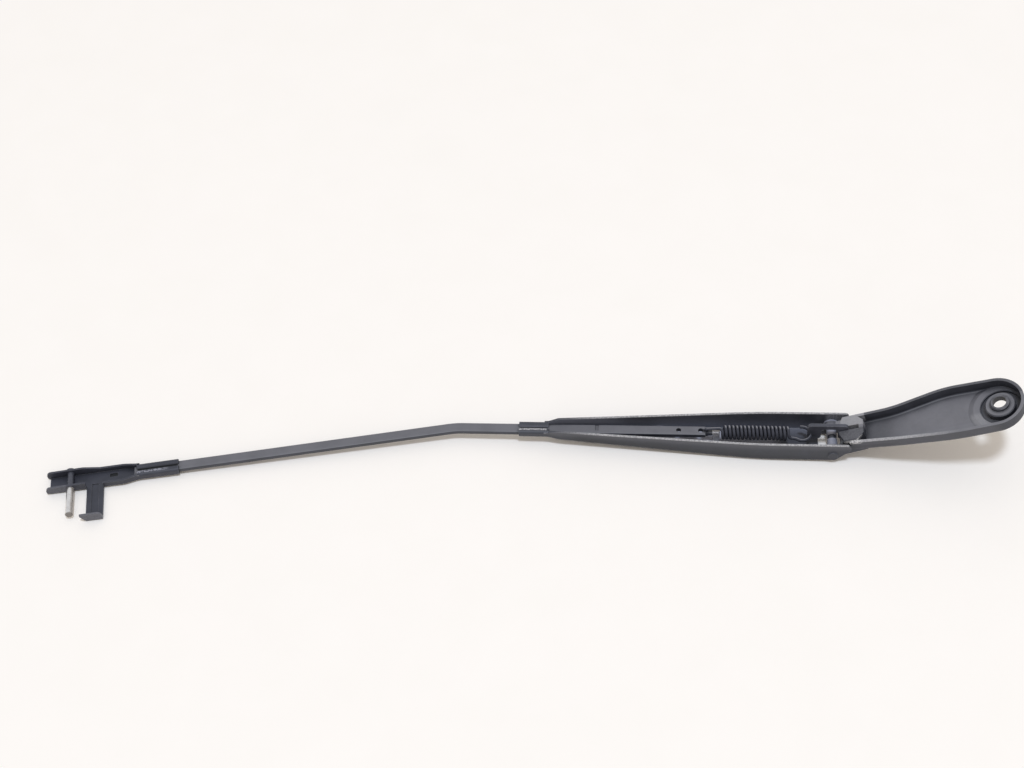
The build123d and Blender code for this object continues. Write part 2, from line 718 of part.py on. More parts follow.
with BuildPart() as blade_bracket:
    extrude(bracket_plan, amount=flange_high - bracket_back)
    fillet(long_bottom_edges(blade_bracket), bracket_edge_radius)
    extrude(bracket_profile, amount=over, both=True, mode=Mode.INTERSECT)
    extrude(bracket_cavity_plan, amount=over, mode=Mode.SUBTRACT)
    with BuildSketch(tip_frame.offset(rod_bottom)):
        with Locations((bracket_crimp_start, 0)):
            Rectangle(over + over, rod_width, align=(Align.MIN, Align.CENTER))
    extrude(amount=rod_thickness, mode=Mode.SUBTRACT)
    with BuildSketch(Plane(tip_origin + tip_x * bracket_crimp_start, x_dir=tip_y, z_dir=tip_x)):
        add(crimp_relief(bracket_crimp_half, bracket_back, bracket_crimp_top, bracket_crimp_gap))
    extrude(amount=bracket_crimp_end - bracket_crimp_start, mode=Mode.SUBTRACT)
    with BuildSketch(tip_frame.offset(rod_bottom)):
        with Locations((bracket_tip + tip_notch, 0)):
            Rectangle(over, 2 * (bracket_half - bracket_sheet), align=(Align.MAX, Align.CENTER))
    extrude(amount=-over, mode=Mode.SUBTRACT)
    with BuildSketch(tip_frame.offset(rod_bottom)):
        with Locations((web_recess_at, web_recess_offset)):
            Rectangle(web_recess_length, web_recess_width)
    extrude(amount=-web_recess_depth, mode=Mode.SUBTRACT)
    with BuildSketch(tip_frame.offset(rod_bottom)):
        with Locations((hook_left, -bracket_half)):
            Rectangle(hook_right - hook_left, 2 * bracket_sheet, align=(Align.MIN, Align.CENTER))
    extrude(amount=over, mode=Mode.SUBTRACT)
    with BuildSketch(tip_frame.offset(bracket_back)):
        with Locations((hook_left, bracket_sheet - bracket_half)):
            Rectangle(hook_right - hook_left, hook_reach + bracket_sheet, align=(Align.MIN, Align.MAX))
    extrude(amount=bracket_sheet)
    with BuildSketch(tip_side.offset(lip_face)) as lip_outline:
        with BuildLine():
            Polyline(
                (hook_left, bracket_back),
                (hook_right, bracket_back),
                (hook_right, bracket_back + lip_height),
                (hook_left - lip_nose, bracket_back + lip_height),
                (hook_left - lip_nose, bracket_back + lip_height - lip_nose_height),
                close=True,
            )
        make_face()
        fillet(lip_outline.vertices().sort_by_distance((hook_left, bracket_back))[0], lip_blend)
        fillet(lip_outline.vertices().sort_by_distance((hook_right, bracket_back + lip_height))[0], lip_blend)
    extrude(amount=-bracket_sheet)
    with BuildSketch(tip_frame.offset(rod_bottom)):
        with Locations(((hook_left + hook_right) / 2, hook_bead_margin - bracket_half)):
            Rectangle(
                hook_bead_width, hook_reach - bracket_sheet, align=(Align.CENTER, Align.MAX)
            )
    extrude(amount=-hook_bead_depth, mode=Mode.SUBTRACT)
    with BuildSketch(tip_side):
        with Locations((0, pin_height)):
            Circle(pin_shank_diameter / 2)
    extrude(amount=bracket_width, both=True, mode=Mode.SUBTRACT)

# Blade pin
with BuildPart() as blade_pin:
    with BuildSketch(tip_side.offset(bracket_half)):
        with Locations((0, pin_height)):
            Circle(pin_diameter / 2)
    extrude(amount=pin_length)
    pin_end = blade_pin.faces().sort_by(Axis(tip_origin, tip_y))[0]
    chamfer(pin_end.edges(), pin_chamfer)
    with BuildSketch(tip_side.offset(bracket_half)):
        with Locations((0, pin_height)):
            Circle(pin_shank_diameter / 2)
    extrude(amount=-bracket_width)
    with BuildSketch(tip_side.offset(-bracket_half)):
        with Locations((0, pin_height)):
            Circle(pin_head_diameter / 2)
    extrude(amount=-pin_head_height)

os.makedirs("parts", exist_ok=True)
pieces = {
    "mounting_head": mounting_head.part,
    "link_pin": link_pin.part,
    "near_bush": near_bush,
    "far_bush": far_bush,
    "retainer": retainer.part,
    "rod": rod.part,
    "blade_bracket": blade_bracket.part,
    "blade_pin": blade_pin.part,
    "pivot_rivet": pivot_rivet.part,
    "spring_link": spring_link.part,
    "tension_spring": tension_spring.part,
}
for name, piece in pieces.items():
    piece.label = name
    export_step(piece, f"parts/{name}.step")
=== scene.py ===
"""Studio scene of a front wiper arm that lies on its back, with its spring side up.

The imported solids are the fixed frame. This script gives each of them its
finish, winds a smooth tension spring in place of the faceted one, and sets the
floor, the light and the camera. All lengths are in metres, apart from those
whose name or docstring says millimetres.
"""
import json
import logging
import math
from dataclasses import dataclass, field
from enum import Enum
from typing import Any

import bpy
from mathutils import Matrix, Vector

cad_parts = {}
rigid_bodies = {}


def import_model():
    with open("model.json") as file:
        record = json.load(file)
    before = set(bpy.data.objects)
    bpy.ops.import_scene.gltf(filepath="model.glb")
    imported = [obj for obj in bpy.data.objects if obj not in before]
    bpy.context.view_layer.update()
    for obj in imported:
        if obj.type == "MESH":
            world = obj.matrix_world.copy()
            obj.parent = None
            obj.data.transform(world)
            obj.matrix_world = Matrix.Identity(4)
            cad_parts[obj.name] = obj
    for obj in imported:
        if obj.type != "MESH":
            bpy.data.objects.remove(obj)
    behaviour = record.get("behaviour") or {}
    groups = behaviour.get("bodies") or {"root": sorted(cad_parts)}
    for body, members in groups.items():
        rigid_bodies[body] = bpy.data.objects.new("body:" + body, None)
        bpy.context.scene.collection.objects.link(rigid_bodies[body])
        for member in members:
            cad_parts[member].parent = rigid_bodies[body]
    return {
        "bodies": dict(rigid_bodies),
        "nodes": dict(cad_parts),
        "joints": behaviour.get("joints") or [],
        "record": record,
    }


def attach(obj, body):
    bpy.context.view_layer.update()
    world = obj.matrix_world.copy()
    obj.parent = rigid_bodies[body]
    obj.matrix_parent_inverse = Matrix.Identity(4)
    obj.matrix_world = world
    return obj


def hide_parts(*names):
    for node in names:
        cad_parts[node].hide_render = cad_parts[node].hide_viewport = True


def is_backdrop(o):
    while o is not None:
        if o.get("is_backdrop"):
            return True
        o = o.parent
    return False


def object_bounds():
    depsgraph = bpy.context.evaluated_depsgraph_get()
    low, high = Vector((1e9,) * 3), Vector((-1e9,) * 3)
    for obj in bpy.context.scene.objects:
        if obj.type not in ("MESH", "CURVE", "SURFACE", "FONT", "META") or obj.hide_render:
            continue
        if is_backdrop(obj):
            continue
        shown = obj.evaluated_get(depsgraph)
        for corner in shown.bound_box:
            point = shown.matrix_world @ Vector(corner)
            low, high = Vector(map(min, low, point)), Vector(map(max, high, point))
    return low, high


LOG = logging.getLogger("wiper_arm")
MM = 0.001

Point = tuple[float, float, float]
Span = tuple[float, float]
Tree = bpy.types.NodeTree
Node = bpy.types.Node
Socket = bpy.types.NodeSocket

# Settings of the nodes that shape a mask
SMOOTH = {"interpolation_type": "SMOOTHSTEP"}
MULTIPLY = {"operation": "MULTIPLY", "use_clamp": True}
LARGER = {"operation": "MAXIMUM", "use_clamp": True}
DOT_PRODUCT = {"operation": "DOT_PRODUCT"}

# Noise values between which a pattern goes from one state to the other
BROAD_NOISE: Span = (0.3, 0.7)
CLOUD_NOISE: Span = (0.38, 0.62)
GRAIN_NOISE: Span = (0.42, 0.58)
WEAR_NOISE: Span = (0.35, 0.6)
STAIN_NOISE: Span = (0.45, 0.7)

# Open air round a point where the painted shading of a hollow starts, and where the hollow is deepest
HOLLOW_SHADING_AIR: Span = (0.95, 0.5)
# Agreement of a face with its rounded edge where wear starts, and where it is full
EDGE_AGREEMENT: Span = (0.985, 0.8)
# Shares of dust and painted highlight, and of edge wear, that are left where the clouds thin them most, and
# the full share
DUST_AND_HIGHLIGHT_SHARES: Span = (0.8, 1.0)
WEAR_SHARES: Span = (0.45, 1.0)

# Colours that several finishes share: grey for rubbed paint and for painted light, painted shade, and
# painted shade in seams and recesses
RUBBED_AND_LIT_GREY = "#8a8b93"
PAINTED_SHADE = "#25262c"
SEAM_SHADE = "#0e0f12"


class Body(Enum):
    """Body that a new piece rides on."""

    LINK = "link"


class Slot(Enum):
    """Material slot of the record for a new piece."""

    SPRING_STEEL = "spring_steel"


class Solid(Enum):
    """Solids that keep their shape and get a finish."""

    MOUNTING_HEAD = "mounting_head"
    NEAR_BUSH = "near_bush"
    FAR_BUSH = "far_bush"
    LINK_PIN = "link_pin"
    RETAINER = "retainer"
    ROD = "rod"
    PIVOT_RIVET = "pivot_rivet"
    SPRING_LINK = "spring_link"
    BLADE_BRACKET = "blade_bracket"
    BLADE_PIN = "blade_pin"


def linear(hex_colour: str) -> tuple[float, float, float, float]:
    """Turn an sRGB hex colour into linear RGBA.

    Args:
        hex_colour: Colour as "#rrggbb".

    Returns:
        Red, green, blue and alpha, linear.
    """
    parts = [int(hex_colour[i:i + 2], 16) / 255 for i in (1, 3, 5)]
    red, green, blue = (c / 12.92 if c <= 0.04045 else ((c + 0.055) / 1.055) ** 2.4 for c in parts)
    return red, green, blue, 1.0


def per_metre(size_mm: float) -> float:
    """Texture scale that gives features of a size in millimetres."""
    return 1.0 / (size_mm * MM)


def add_node(
    tree: Tree,
    kind: str,
    settings: dict[str, Any] | None = None,
    inputs: dict[str | int, Any] | list[Any] | None = None,
) -> Node:
    """Add one node with its settings, values and links.

    Args:
        tree: Node tree that takes the node.
        kind: Node type without the "ShaderNode" prefix.
        settings: Attributes of the node.
        inputs: Values, sockets or nodes for its inputs, by name or number, or in order. Of a node,
            the first output is taken.

    Returns:
        The new node.
    """
    node = tree.nodes.new("ShaderNode" + kind)
    for name, value in (settings or {}).items():
        setattr(node, name, value)
    for key, value in inputs.items() if isinstance(inputs, dict) else enumerate(inputs or []):
        source = value.outputs[0] if isinstance(value, Node) else value
        if isinstance(source, Socket):
            tree.links.new(source, node.inputs[key])
        else:
            node.inputs[key].default_value = source
    return node


def new_material(name: str) -> tuple[bpy.types.Material, Tree]:
    """Add an empty node material.

    Args:
        name: Name of the finish.

    Returns:
        The material and its node tree.
    """
    material = bpy.data.materials.new(name)
    material.use_nodes = True
    material.node_tree.nodes.clear()
    return material, material.node_tree


@dataclass(frozen=True)
class Patch:
    """Box in which a finish is rubbed thin, or painted lighter or darker as light and shade.

    Attributes:
        origin: Origin of the box's frame.
        turn: Turn of the frame about X, Y and Z, in radians.
        low: Lowest corner of the box.
        high: Highest corner of the box.
        fade: Width along each axis over which the patch fades out.
        amount: Share of the patch's colour inside the box.
        colour: Colour that shows there.
        broken: How far the fine grain of the paint breaks the patch up, from 0 to 1.
    """

    origin: Point
    turn: Point
    low: Point
    high: Point
    fade: Point
    amount: float
    colour: str
    broken: float

    def mask(self, tree: Tree, place: Socket) -> Node:
        """Add the nodes that give the share of the patch's colour.

        Args:
            tree: Node tree of the finish.
            place: Socket with the object coordinates.

        Returns:
            Node with the share, from 0 to 1.
        """
        moved = add_node(
            tree, "Mapping", {"vector_type": "TEXTURE"},
            {"Vector": place, "Location": self.origin, "Rotation": self.turn},
        )
        axes = add_node(tree, "SeparateXYZ", inputs=[moved]).outputs
        share: Node | float = self.amount
        for axis, low, high, fade in zip(axes, self.low, self.high, self.fade):
            rise = add_node(tree, "MapRange", SMOOTH, [axis, low - fade, low])
            fall = add_node(tree, "MapRange", SMOOTH, [axis, high, high + fade, 1.0, 0.0])
            inside = add_node(tree, "Math", MULTIPLY, [rise, fall])
            share = add_node(tree, "Math", MULTIPLY, [inside, share])
        return share


@dataclass(frozen=True)
class Datum:
    """Turned frame from which the sizes of one piece are measured.

    Attributes:
        origin: Origin of the frame.
        turn: Turn about X, Y and Z, in radians.
    """

    origin: Point
    turn: Point

    def patch(
        self, low: Point, high: Point, fade: float | Point, amount: float,
        colour: str = RUBBED_AND_LIT_GREY, broken: float = 0.4,
    ) -> Patch:
        """Patch of a finish, measured in millimetres from the datum.

        Args:
            low: Lowest corner of the patch.
            high: Highest corner of the patch.
            fade: Width over which it fades out, the same along all axes or one for each.
            amount: Share of its colour.
            colour: Colour that shows there.
            broken: How far the grain breaks it up.

        Returns:
            The patch.
        """
        widths = fade if isinstance(fade, tuple) else (fade, fade, fade)
        sizes = [tuple(value * MM for value in point) for point in (low, high, widths)]
        return Patch(self.origin, self.turn, *sizes, amount, colour, broken)


@dataclass(frozen=True)
class SatinPaint:
    """Black stove-baked paint on pressed or cast steel.

    It shows as a soft, slightly uneven grey sheen with a faint orange peel. It
    rubs through to a lighter grey along the edges and holds dust on top, which on
    the spring is a painted highlight. Its corners and hollows get painted shade,
    and in the retainer's channel painted bounced light.

    Attributes:
        name: Name of the finish.
        colour: Paint in full cover.
        thin_colour: Paint where it is thin.
        worn_colour: Rubbed edges.
        dust_and_highlight_colour: Road dust on the paint; on the spring, a painted highlight.
        dust_and_highlight: Share of that colour on faces that look up.
        dust_and_highlight_facing: How far a face looks up where that colour starts, and where it is full.
        dust_and_highlight_from: Direction that the dust came from; on the spring, the side of the painted
            highlight.
        hollow_shading_colour: Colour painted into corners and hollows as shade, or lighter as bounced
            light.
        hollow_shading: Share of that painted shading in the deepest hollows.
        hollow_shading_mm: Depth of a hollow.
        hollow_shading_alone: Whether only the piece itself makes hollows, and not its neighbours.
        roughness: Lowest and highest roughness.
        specular: Strength of the sheen.
        mottle_mm: Size of the clouds in the paint.
        peel_mm: Size of the orange peel, drawn coarser than real so that it shows.
        peel_height: Height of the orange peel.
        edge_mm: Width of the rubbed edges.
        edge_wear: Share of wear along the edges.
        patches: Places that are rubbed thin, lightened or darkened, many of them painted light and shade.
    """

    name: str
    colour: str = "#32343c"
    thin_colour: str = "#3a3c45"
    worn_colour: str = RUBBED_AND_LIT_GREY
    # Dust on faces that look up; the spring uses it as a painted highlight
    dust_and_highlight_colour: str = "#77787f"
    dust_and_highlight: float = 0.0
    dust_and_highlight_facing: Span = (0.5, 0.92)
    dust_and_highlight_from: Point = (0.0, 0.0, 1.0)
    # Painted shading in corners and hollows
    hollow_shading_colour: str = "#23242a"
    hollow_shading: float = 0.0
    hollow_shading_mm: float = 6.0
    hollow_shading_alone: bool = True
    roughness: Span = (0.4, 0.52)
    specular: float = 0.5
    mottle_mm: float = 14.0
    peel_mm: float = 0.9
    peel_height: float = 0.02 * MM
    edge_mm: float = 0.45
    edge_wear: float = 0.75
    patches: tuple[Patch, ...] = ()

    def material(self) -> bpy.types.Material:
        """Build the node material of the paint."""
        material, tree = new_material(self.name)
        place = add_node(tree, "TexCoord").outputs["Object"]
        mottle = add_node(
            tree, "TexNoise",
            inputs={"Vector": place, "Scale": per_metre(self.mottle_mm), "Detail": 4.0, "Roughness": 0.6},
        )
        peel = add_node(
            tree, "TexNoise", inputs={"Vector": place, "Scale": per_metre(self.peel_mm), "Detail": 2.0}
        )
        cloud = add_node(tree, "MapRange", SMOOTH, [mottle, *CLOUD_NOISE])
        # Over the paint: random clouds, dust or a painted highlight, painted shading in hollows, rubbed
        # edges, then the patches
        layers = [
            (cloud, self.thin_colour),
            (self.dust_and_highlight_mask(tree, mottle), self.dust_and_highlight_colour),
            (self.hollow_shading_mask(tree), self.hollow_shading_colour),
            (self.edge_mask(tree, mottle), self.worn_colour),
        ]
        for patch in self.patches:
            grain = add_node(tree, "MapRange", SMOOTH, [peel, *GRAIN_NOISE, 1.0 - patch.broken, 1.0])
            shown = add_node(tree, "Math", MULTIPLY, [patch.mask(tree, place), grain])
            layers.append((shown, patch.colour))
        surface: Node | tuple[float, ...] = linear(self.colour)
        for share, colour in layers:
            surface = add_node(tree, "MixRGB", inputs=[share, surface, linear(colour)])
        gloss = add_node(tree, "MapRange", SMOOTH, [mottle, *BROAD_NOISE, *self.roughness])
        bump = add_node(
            tree, "Bump", inputs={"Height": peel, "Strength": 1.0, "Distance": self.peel_height}
        )
        shader = add_node(
            tree, "BsdfPrincipled",
            inputs={
                "Base Color": surface, "Roughness": gloss, "IOR": 1.5,
                "Specular IOR Level": self.specular, "Normal": bump,
            },
        )
        add_node(tree, "OutputMaterial", inputs={"Surface": shader})
        return material

    def dust_and_highlight_mask(self, tree: Tree, mottle: Node) -> Node:
        """Add the nodes that find where dust lies, and on the spring where the painted highlight lies.

        Args:
            tree: Node tree of the paint.
            mottle: Node with the clouds, which thin the dust and the painted highlight.

        Returns:
            Node with the share of dust or of painted highlight.
        """
        normal = add_node(tree, "TexCoord").outputs["Normal"]
        facing = add_node(tree, "VectorMath", DOT_PRODUCT, [normal, self.dust_and_highlight_from]).outputs["Value"]
        on_top = add_node(tree, "MapRange", SMOOTH, [facing, *self.dust_and_highlight_facing, 0.0, self.dust_and_highlight])
        patchy = add_node(tree, "MapRange", SMOOTH, [mottle, *BROAD_NOISE, *DUST_AND_HIGHLIGHT_SHARES])
        return add_node(tree, "Math", MULTIPLY, [on_top, patchy])

    def hollow_shading_mask(self, tree: Tree) -> Node:
        """Add the nodes that find corners and hollows, where shading is painted."""
        around = add_node(
            tree, "AmbientOcclusion", {"samples": 8, "only_local": self.hollow_shading_alone},
            {"Distance": self.hollow_shading_mm * MM},
        )
        return add_node(tree, "MapRange", SMOOTH, [around.outputs["AO"], *HOLLOW_SHADING_AIR, 0.0, self.hollow_shading])

    def edge_mask(self, tree: Tree, mottle: Node) -> Node:
        """Add the nodes that find the rubbed edges.

        Args:
            tree: Node tree of the paint.
            mottle: Node with the clouds, which break up the wear.

        Returns:
            Node with the share of wear.
        """
        rounded = add_node(tree, "Bevel", {"samples": 6}, {"Radius": self.edge_mm * MM})
        flat = add_node(tree, "NewGeometry").outputs["Normal"]
        facing = add_node(tree, "VectorMath", DOT_PRODUCT, [rounded, flat]).outputs["Value"]
        edge = add_node(tree, "MapRange", SMOOTH, [facing, *EDGE_AGREEMENT, 0.0, self.edge_wear])
        patchy = add_node(tree, "MapRange", SMOOTH, [mottle, *WEAR_NOISE, *WEAR_SHARES])
        return add_node(tree, "Math", MULTIPLY, [edge, patchy])


@dataclass(frozen=True)
class Steel:
    """Bare steel, ground or turned.

    It shows bright reflections that fine tool marks spread a little, with dull
    stains of oil and rust.

    Attributes:
        name: Name of the finish.
        colour: Clean metal.
        stain_colour: Metal under a film of oil or rust.
        roughness: Lowest and highest roughness.
        grain_mm: Spacing of the tool marks, drawn coarser than real so that they show.
        grain_height: Height of the tool marks.
        stretch: How much longer the marks are across the piece than along it.
        stain_mm: Size of the stains.
        stain: Share of the surface that is stained.
        covers_and_dark_reflections: Places under paint, and places painted with a dark reflection.
    """

    name: str
    colour: str
    stain_colour: str
    roughness: Span
    grain_mm: float = 0.35
    grain_height: float = 0.02 * MM
    stretch: float = 8.0
    stain_mm: float = 3.0
    stain: float = 0.4
    covers_and_dark_reflections: tuple[Patch, ...] = ()

    def material(self) -> bpy.types.Material:
        """Build the node material of the metal."""
        material, tree = new_material(self.name)
        place = add_node(tree, "TexCoord").outputs["Object"]
        across = 1.0 / self.stretch
        squeezed = add_node(tree, "Mapping", inputs={"Vector": place, "Scale": (across, 1.0, across)})
        grain = add_node(
            tree, "TexNoise", inputs={"Vector": squeezed, "Scale": per_metre(self.grain_mm), "Detail": 3.0}
        )
        stains = add_node(
            tree, "TexNoise", inputs={"Vector": place, "Scale": per_metre(self.stain_mm), "Detail": 5.0}
        )
        film = add_node(tree, "MapRange", SMOOTH, [stains, *STAIN_NOISE, 0.0, self.stain])
        surface = add_node(tree, "MixRGB", inputs=[film, linear(self.colour), linear(self.stain_colour)])
        metal: Node | float = 1.0
        for patch in self.covers_and_dark_reflections:
            overlay = patch.mask(tree, place)
            surface = add_node(tree, "MixRGB", inputs=[overlay, surface, linear(patch.colour)])
            bare = add_node(tree, "MapRange", SMOOTH, [overlay, 0.0, 1.0, 1.0, 0.0])
            metal = add_node(tree, "Math", MULTIPLY, [bare, metal])
        gloss = add_node(tree, "MapRange", SMOOTH, [grain, *BROAD_NOISE, *self.roughness])
        bump = add_node(
            tree, "Bump", inputs={"Height": grain, "Strength": 0.6, "Distance": self.grain_height}
        )
        shader = add_node(
            tree, "BsdfPrincipled",
            inputs={"Base Color": surface, "Metallic": metal, "Roughness": gloss, "Normal": bump},
        )
        add_node(tree, "OutputMaterial", inputs={"Surface": shader})
        return material


@dataclass(frozen=True)
class Card:
    """White card of the floor.

    It shows matt and almost even, with faint fibre clouds, and only from above.

    Attributes:
        name: Name of the finish.
        colour: Card.
        shade: Darker clouds in the card.
        fibre_mm: Size of the fibre clouds.
    """

    name: str = "white_card"
    colour: str = "#fdfcfb"
    shade: str = "#faf9f7"
    fibre_mm: float = 30.0

    def material(self) -> bpy.types.Material:
        """Build the node material of the card."""
        material, tree = new_material(self.name)
        place = add_node(tree, "TexCoord").outputs["Object"]
        fibre = add_node(
            tree, "TexNoise", inputs={"Vector": place, "Scale": per_metre(self.fibre_mm), "Detail": 6.0}
        )
        surface = add_node(tree, "MixRGB", inputs=[fibre, linear(self.colour), linear(self.shade)])
        matt = add_node(tree, "BsdfDiffuse", inputs={"Color": surface})
        clear = add_node(tree, "BsdfTransparent")
        behind = add_node(tree, "NewGeometry").outputs["Backfacing"]
        shader = add_node(tree, "MixShader", inputs=[behind, matt, clear])
        add_node(tree, "OutputMaterial", inputs={"Surface": shader})
        return material


@dataclass(frozen=True)
class Layout:
    """Datums of the arm, its head, its web and its tip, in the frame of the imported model.

    Attributes:
        pivot: Point on the hinge axis, in the middle of the arm.
        arm_turn: Slope of the arm.
        head_turn: Slope of the mounting head.
        web_at: Point on the web, along the arm and above the hinge.
        web_turn: Slope of the web against the arm.
        bend: Sideways bend of the rod.
        pin: Blade pin's axis, along and across the arm.
    """

    pivot: Point = (-93.095 * MM, 1.0 * MM, -39.0195 * MM)
    arm_turn: float = math.radians(1.094)
    head_turn: float = math.radians(21.094)
    web_at: Span = (-45.0 * MM, -4.8 * MM)
    web_turn: float = math.radians(3.31)
    bend: float = math.radians(11.0)
    pin: Span = (-462.83 * MM, -45.39 * MM)

    def on_arm(self, x: float, y: float, z: float) -> Vector:
        """Place of a point that is given along, across and above the hinge axis.

        Args:
            x: Distance along the arm.
            y: Distance across the arm.
            z: Height above the hinge axis.

        Returns:
            The point in the frame of the model.
        """
        return Vector(self.pivot) + Matrix.Rotation(-self.arm_turn, 3, "Y") @ Vector((x, y, z))

    def head(self) -> Datum:
        """Datum of the mounting head, at the hinge."""
        return Datum(self.pivot, (0.0, -self.head_turn, 0.0))

    def arm(self) -> Datum:
        """Datum of the arm, at the hinge."""
        return Datum(self.pivot, (0.0, -self.arm_turn, 0.0))

    def web(self) -> Datum:
        """Datum on the sloping web of the retainer, under the spring."""
        along, above = self.web_at
        return Datum(tuple(self.on_arm(along, 0.0, above)), (0.0, self.web_turn - self.arm_turn, 0.0))

    def tip(self) -> Datum:
        """Datum of the blade bracket, at the blade pin."""
        return Datum(tuple(self.on_arm(*self.pin, 0.0)), (0.0, -self.arm_turn, self.bend))


def dress(frame: dict[str, Any], solid: Solid, material: bpy.types.Material) -> None:
    """Give a solid of the frame its finish.

    Args:
        frame: Loaded frame.
        solid: Solid to finish.
        material: Finish.
    """
    mesh = frame["nodes"][solid.value].data
    mesh.materials.clear()
    mesh.materials.append(material)
    LOG.info("%s is finished in %s", solid.value, material.name)


def deselect_all() -> None:
    """Leave edit mode and deselect every object."""
    if bpy.context.object and bpy.context.object.mode != "OBJECT":
        bpy.ops.object.mode_set(mode="OBJECT")
    bpy.ops.object.select_all(action="DESELECT")


@dataclass
class TensionSpring:
    """Close-wound wire spring with a hook at the rod and a round eye at the link.

    Sizes are measured along, across and above the hinge axis, as on the arm.

    Attributes:
        layout: Datums of the arm.
        wire: Diameter of the wire.
        coil_radius: Radius of the middle of the wire.
        start: First turn, along the arm.
        end: Last turn, along the arm.
        turns: Turns between the leads.
        lead_turn: Share of a turn in which the wire leaves the coil.
        lead_length: Length of each lead.
        anchor: Hook hole in the rod, along the arm and above the hinge.
        pin: Link pin, along the arm and above the hinge.
        hook_height: Wire above the line of the spring at the rod hook.
        hook_drop: End of the hook below the line of the spring.
        hook_bend: Radius of the hook's bend.
        eye_at: Outermost point of the eye, along the arm.
        eye_radius: Radius of the eye.
        eye_start: First point of the eye, from its nearest point.
        eye_end: Last point of the eye, from its nearest point.
        turn_steps: Steps in one turn of the coil.
        lead_steps: Steps in a lead.
        hook_steps: Steps in the hook's bend.
        eye_steps: Steps in the eye.
        wire_resolution: Bevel resolution of the wire's round section.
        smooth_angle: Largest angle between faces that are shaded as one.
        finish: Blackened spring wire, with a painted highlight along the tops of its turns.
    """

    layout: Layout
    wire: float = 1.9 * MM
    coil_radius: float = 3.55 * MM
    start: float = -66.0 * MM
    end: float = -26.5 * MM
    turns: float = 17.25 - 2 / 6
    lead_turn: float = 1 / 6
    lead_length: float = 2.4 * MM
    anchor: Span = (-79.2 * MM, 4.9 * MM)
    pin: Span = (6.0 * MM, 4.3 * MM)
    hook_height: float = 2.95 * MM
    hook_drop: float = -2.7 * MM
    hook_bend: float = 1.8 * MM
    eye_at: float = -13.0 * MM
    eye_radius: float = 5.2 * MM
    eye_start: float = math.radians(-40.0)
    eye_end: float = math.radians(190.0)
    turn_steps: int = 32
    lead_steps: int = 6
    hook_steps: int = 8
    eye_steps: int = 28
    wire_resolution: int = 3
    smooth_angle: float = math.radians(40.0)
    # Blackened, drawn wire: dull and dark, with a pale painted highlight along the far upper side of the
    # turns
    finish: SatinPaint = SatinPaint(
        "blackened_spring_wire", colour="#3b3d46", thin_colour="#42444d",
        dust_and_highlight_colour="#9c9da4", dust_and_highlight=0.75, dust_and_highlight_facing=(0.78, 0.97), dust_and_highlight_from=(0.0, 0.5, 0.866),
        roughness=(0.5, 0.6), specular=0.15, mottle_mm=3.0, edge_wear=0.0,
    )

    def helix(self, turn: float, along: float) -> Vector:
        """Point of the coil, with the spring's line along X.

        Args:
            turn: Turns from the top.
            along: Distance from the first turn.

        Returns:
            The point.
        """
        angle = 2 * math.pi * turn
        return Vector((along, -self.coil_radius * math.sin(angle), self.coil_radius * math.cos(angle)))

    def wind(self) -> bpy.types.Object:
        """Wind the coil's line from one point with a screw.

        Returns:
            The coil as an open chain of edges.
        """
        deselect_all()
        bpy.ops.mesh.primitive_circle_add(vertices=3, radius=self.wire, location=(0, 0, 0))
        chain = bpy.context.object
        chain.name = "tension_spring_wire"
        bpy.ops.object.mode_set(mode="EDIT")
        bpy.ops.mesh.select_all(action="SELECT")
        bpy.ops.mesh.merge(type="CENTER")
        bpy.ops.transform.translate(value=self.helix(self.lead_turn, 0.0))
        bpy.ops.object.mode_set(mode="OBJECT")
        screw = chain.modifiers.new("coil", "SCREW")
        screw.axis = "X"
        screw.angle = 2 * math.pi * self.turns
        screw.screw_offset = self.end - self.start
        screw.steps = screw.render_steps = round(self.turns * self.turn_steps)
        bpy.ops.object.modifier_apply(modifier=screw.name)
        return chain

    def pick(self, chain: bpy.types.Object, place: Vector) -> None:
        """Select the point of the chain that is nearest to a place, and enter edit mode.

        Args:
            chain: Chain of edges.
            place: Place to look near.
        """
        bpy.ops.object.mode_set(mode="EDIT")
        bpy.ops.mesh.select_all(action="DESELECT")
        bpy.ops.object.mode_set(mode="OBJECT")
        nearest = min(chain.data.vertices, key=lambda vertex: (vertex.co - place).length)
        nearest.select = True
        bpy.ops.object.mode_set(mode="EDIT")

    def draw_on(self, start: Vector, points: list[Vector]) -> Vector:
        """Extrude the selected end of the chain through points.

        Args:
            start: Where the end is.
            points: Where it goes next.

        Returns:
            The last point.
        """
        for point in points:
            bpy.ops.mesh.extrude_region_move(TRANSFORM_OT_translate={"value": point - start})
            start = point
        return start

    def hook_rod_end(self, chain: bpy.types.Object) -> None:
        """Draw the hook that drops through the hole in the rod.

        Args:
            chain: Chain of edges of the coil.
        """
        first = self.helix(self.lead_turn, 0.0)
        self.pick(chain, first)
        shares = [step / self.lead_steps for step in range(self.lead_steps - 1, -1, -1)]
        lead = [self.helix(self.lead_turn * s**2, -self.lead_length * (1 - s) ** 2) for s in shares]
        here = self.draw_on(first, lead)
        hole = self.anchor[0] - self.start
        slope = math.atan2(self.coil_radius - self.hook_height, -self.lead_length - hole)
        tangent = self.hook_bend * math.tan((math.pi / 2 + slope) / 2)
        corner = Vector((hole, 0.0, self.hook_height))
        bend_start = corner + Vector((math.cos(slope), 0.0, math.sin(slope))) * tangent
        bend_end = corner - Vector((0.0, 0.0, tangent))
        middle = bend_end + Vector((self.hook_bend, 0.0, 0.0))
        self.draw_on(here, [bend_start])
        bpy.ops.mesh.spin(
            steps=self.hook_steps, angle=-(math.pi / 2 + slope), center=middle, axis=(0, 1, 0)
        )
        self.draw_on(bend_end, [Vector((hole, 0.0, self.hook_drop))])

